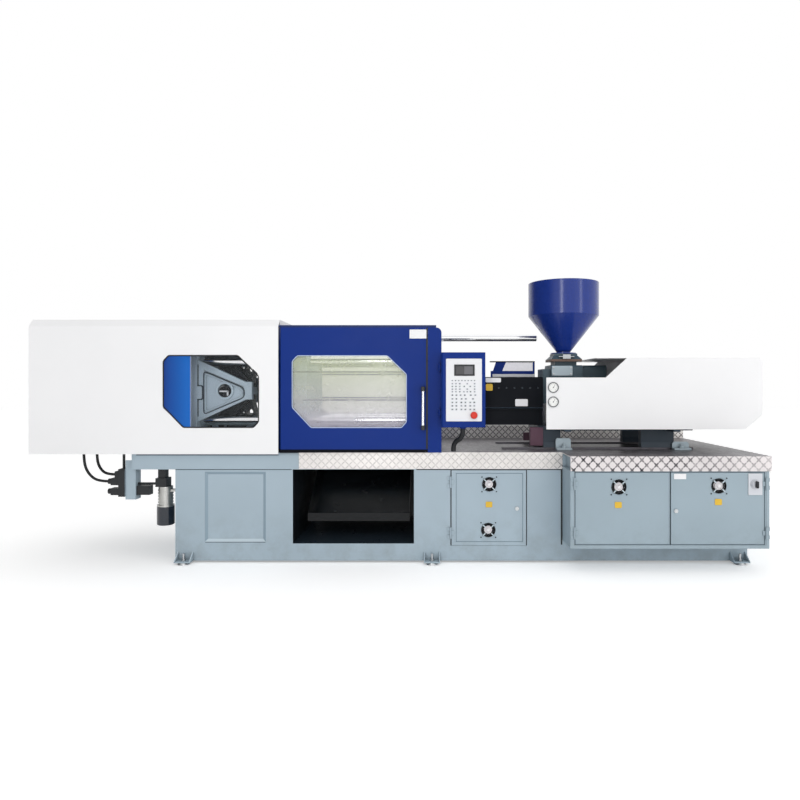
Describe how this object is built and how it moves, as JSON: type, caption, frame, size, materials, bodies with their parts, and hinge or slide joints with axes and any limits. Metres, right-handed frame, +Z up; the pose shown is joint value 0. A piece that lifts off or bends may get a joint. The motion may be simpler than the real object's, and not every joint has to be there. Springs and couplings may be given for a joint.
{
  "type": "injection moulding machine",
  "caption": "Horizontal toggle-clamp injection moulding machine on a welded base, with sliding guard doors, operator controller, feed hopper and electrical cabinet.",
  "frame": {"origin": "centre of the footprint on the floor", "axes": "+X from the clamp end to the injection end, +Z up, the operator stands on the -Y side"},
  "size_m": [5.3, 1.53, 2.083],
  "materials": {
    "base_paint": "grey-blue satin enamel",
    "tread_plate": "bright five-bar tread sheet",
    "cover_paint": "white satin powder coat",
    "door_paint": "blue satin powder coat",
    "clear_pane": "clear polycarbonate sheet",
    "cast_paint": "grey enamel on a casting",
    "machined_steel": "turned and ground steel",
    "polished_steel": "hard chromed bar",
    "black_paint": "near-black enamel",
    "hopper_paint": "blue gloss enamel",
    "pump_alloy": "die-cast alloy",
    "dark_plastic": "moulded black plastic",
    "red_plastic": "moulded red plastic",
    "gauge_case": "bright rimmed gauge case",
    "hose_rubber": "black hose cover",
    "reservoir_plastic": "smoked plastic tank"
  },
  "bodies": {
    "base": {"levelling_pads": "machined_steel", "left_pedestal": "base_paint", "drop_sill": "base_paint", "bay_frame": "base_paint", "oil_tank": "base_paint", "clamp_bed": "base_paint", "deck_plate": "tread_plate", "product_chute": "machined_steel", "electrical_cabinet": "base_paint", "pump_motor": "black_paint", "guard_posts": "door_paint", "door_rails": "machined_steel", "clamp_cover": "cover_paint", "clamp_window": "clear_pane", "fixed_platen": "cast_paint", "tie_bars": "polished_steel", "injection_rails": "machined_steel", "lubrication_pump": "pump_alloy", "lubrication_reservoir": "reservoir_plastic", "valve_block": "black_paint", "clamp_hose_outer": "hose_rubber", "clamp_hose_inner": "hose_rubber", "controller_conduit": "hose_rubber"},
    "tail": {"tail_platen": "cast_paint", "clamp_cylinder": "machined_steel"},
    "crosshead": {"crosshead": "machined_steel"},
    "moving_platen": {"moving_platen": "cast_paint", "safety_bar": "polished_steel"},
    "ejector": {"ejector": "machined_steel"},
    "upper_rear": {"upper_rear_link": "cast_paint"},
    "lower_rear": {"lower_rear_link": "cast_paint"},
    "upper_front": {"upper_front_link": "cast_paint"},
    "lower_front": {"lower_front_link": "cast_paint"},
    "upper_cross": {"upper_crosshead_link": "cast_paint"},
    "lower_cross": {"lower_crosshead_link": "cast_paint"},
    "front_door": {"front_door": "door_paint", "front_window": "clear_pane", "front_door_handle": "polished_steel"},
    "rear_door": {"rear_door": "door_paint", "rear_window": "clear_pane"},
    "hatch": {"hydraulics_door": "base_paint"},
    "cabinet_left": {"cabinet_door_left": "base_paint"},
    "cabinet_right": {"cabinet_door_right": "base_paint"},
    "switch": {"switch_knob": "dark_plastic"},
    "fan_1": {"fan_rotor_1": "dark_plastic"},
    "fan_2": {"fan_rotor_2": "dark_plastic"},
    "fan_3": {"fan_rotor_3": "dark_plastic"},
    "fan_4": {"fan_rotor_4": "dark_plastic"},
    "controller": {"controller_box": "door_paint"},
    "stop": {"stop_button": "red_plastic"},
    "carriage": {"injection_carriage": "cast_paint", "barrel": "machined_steel", "barrel_guard": "black_paint", "injection_cover": "cover_paint", "pressure_gauges": "gauge_case", "hopper": "hopper_paint", "feed_housing": "cast_paint"},
    "gate": {"hopper_gate": "machined_steel"},
    "drive": {"screw_drive": "machined_steel"},
    "screw": {"screw": "machined_steel"}
  },
  "joints": [
    {"name": "front_door_slide", "type": "slide", "parent": "base", "child": "front_door", "axis": [-1, 0, 0], "range_m": [0, 0.9]},
    {"name": "rear_door_slide", "type": "slide", "parent": "base", "child": "rear_door", "axis": [-1, 0, 0], "range_m": [0, 0.9]},
    {"name": "mould_height", "type": "slide", "parent": "base", "child": "tail", "axis": [1, 0, 0], "range_m": [0, 0.35]},
    {"name": "clamp_stroke", "type": "slide", "parent": "tail", "child": "moving_platen", "axis": [1, 0, 0], "range_m": [0, 0.25772]},
    {"name": "crosshead_stroke", "type": "slide", "parent": "tail", "child": "crosshead", "axis": [1, 0, 0], "range_m": [0, 0.23481]},
    {"name": "upper_rear_pivot", "type": "hinge", "parent": "tail", "child": "upper_rear", "pos_m": [-1.4585, 0, 1.517], "axis": [0, -1, 0], "range_deg": [0, 44.38]},
    {"name": "upper_knee", "type": "hinge", "parent": "upper_rear", "child": "upper_front", "pos_m": [-1.2335, 0, 1.297], "axis": [0, 1, 0], "range_deg": [0, 119.12]},
    {"name": "upper_cross_pivot", "type": "hinge", "parent": "upper_rear", "child": "upper_cross", "pos_m": [-1.336, 0, 1.3133], "axis": [0, -1, 0], "range_deg": [0, 33.98]},
    {"name": "lower_rear_pivot", "type": "hinge", "parent": "tail", "child": "lower_rear", "pos_m": [-1.4585, 0, 0.957], "axis": [0, 1, 0], "range_deg": [0, 44.38]},
    {"name": "lower_knee", "type": "hinge", "parent": "lower_rear", "child": "lower_front", "pos_m": [-1.2335, 0, 1.177], "axis": [0, -1, 0], "range_deg": [0, 119.12]},
    {"name": "lower_cross_pivot", "type": "hinge", "parent": "lower_rear", "child": "lower_cross", "pos_m": [-1.336, 0, 1.1607], "axis": [0, 1, 0], "range_deg": [0, 33.98]},
    {"name": "ejector_stroke", "type": "slide", "parent": "moving_platen", "child": "ejector", "axis": [1, 0, 0], "range_m": [0, 0.1]},
    {"name": "carriage_feed", "type": "slide", "parent": "base", "child": "carriage", "axis": [-1, 0, 0], "range_m": [0, 0.28]},
    {"name": "drive_stroke", "type": "slide", "parent": "carriage", "child": "drive", "axis": [1, 0, 0], "range_m": [0, 0.2]},
    {"name": "screw_spin", "type": "hinge", "parent": "drive", "child": "screw", "pos_m": [1.2, 0, 1.237], "axis": [1, 0, 0], "continuous": true},
    {"name": "gate_slide", "type": "slide", "parent": "carriage", "child": "gate", "axis": [0, -1, 0], "range_m": [0, 0.125]},
    {"name": "hatch_hinge", "type": "hinge", "parent": "base", "child": "hatch", "pos_m": [0.364, -0.48, 0.398], "axis": [0, 0, -1], "range_deg": [0, 110]},
    {"name": "cabinet_left_hinge", "type": "hinge", "parent": "base", "child": "cabinet_left", "pos_m": [1.196, -0.736, 0.44], "axis": [0, 0, -1], "range_deg": [0, 110]},
    {"name": "cabinet_right_hinge", "type": "hinge", "parent": "base", "child": "cabinet_right", "pos_m": [2.498, -0.736, 0.44], "axis": [0, 0, 1], "range_deg": [0, 110]},
    {"name": "switch_turn", "type": "hinge", "parent": "cabinet_right", "child": "switch", "pos_m": [2.424, -0.75, 0.605], "axis": [0, -1, 0], "range_deg": [0, 90]},
    {"name": "fan_spin_1", "type": "hinge", "parent": "hatch", "child": "fan_1", "pos_m": [0.642, -0.444, 0.564], "axis": [0, 1, 0], "continuous": true},
    {"name": "fan_spin_2", "type": "hinge", "parent": "hatch", "child": "fan_2", "pos_m": [0.635, -0.444, 0.235], "axis": [0, 1, 0], "continuous": true},
    {"name": "fan_spin_3", "type": "hinge", "parent": "cabinet_left", "child": "fan_3", "pos_m": [1.499, -0.7, 0.586], "axis": [0, 1, 0], "continuous": true},
    {"name": "fan_spin_4", "type": "hinge", "parent": "cabinet_right", "child": "fan_4", "pos_m": [2.178, -0.7, 0.593], "axis": [0, 1, 0], "continuous": true},
    {"name": "controller_swing", "type": "hinge", "parent": "base", "child": "controller", "pos_m": [0.284, -0.52, 1.24], "axis": [0, 0, -1], "range_deg": [0, 90]},
    {"name": "stop_press", "type": "slide", "parent": "controller", "child": "stop", "axis": [0, 1, 0], "range_m": [0, 0.005]}
  ],
  "couplings": [
    {"joint": "crosshead_stroke", "follows": "clamp_stroke", "ratio": 0.91103},
    {"joint": "upper_rear_pivot", "follows": "clamp_stroke", "rad_per_m": 3.0039},
    {"joint": "upper_knee", "follows": "clamp_stroke", "rad_per_m": 8.0658},
    {"joint": "upper_cross_pivot", "follows": "clamp_stroke", "rad_per_m": 2.3},
    {"joint": "lower_rear_pivot", "follows": "clamp_stroke", "rad_per_m": 3.0039},
    {"joint": "lower_knee", "follows": "clamp_stroke", "rad_per_m": 8.0658},
    {"joint": "lower_cross_pivot", "follows": "clamp_stroke", "rad_per_m": 2.3}
  ]
}
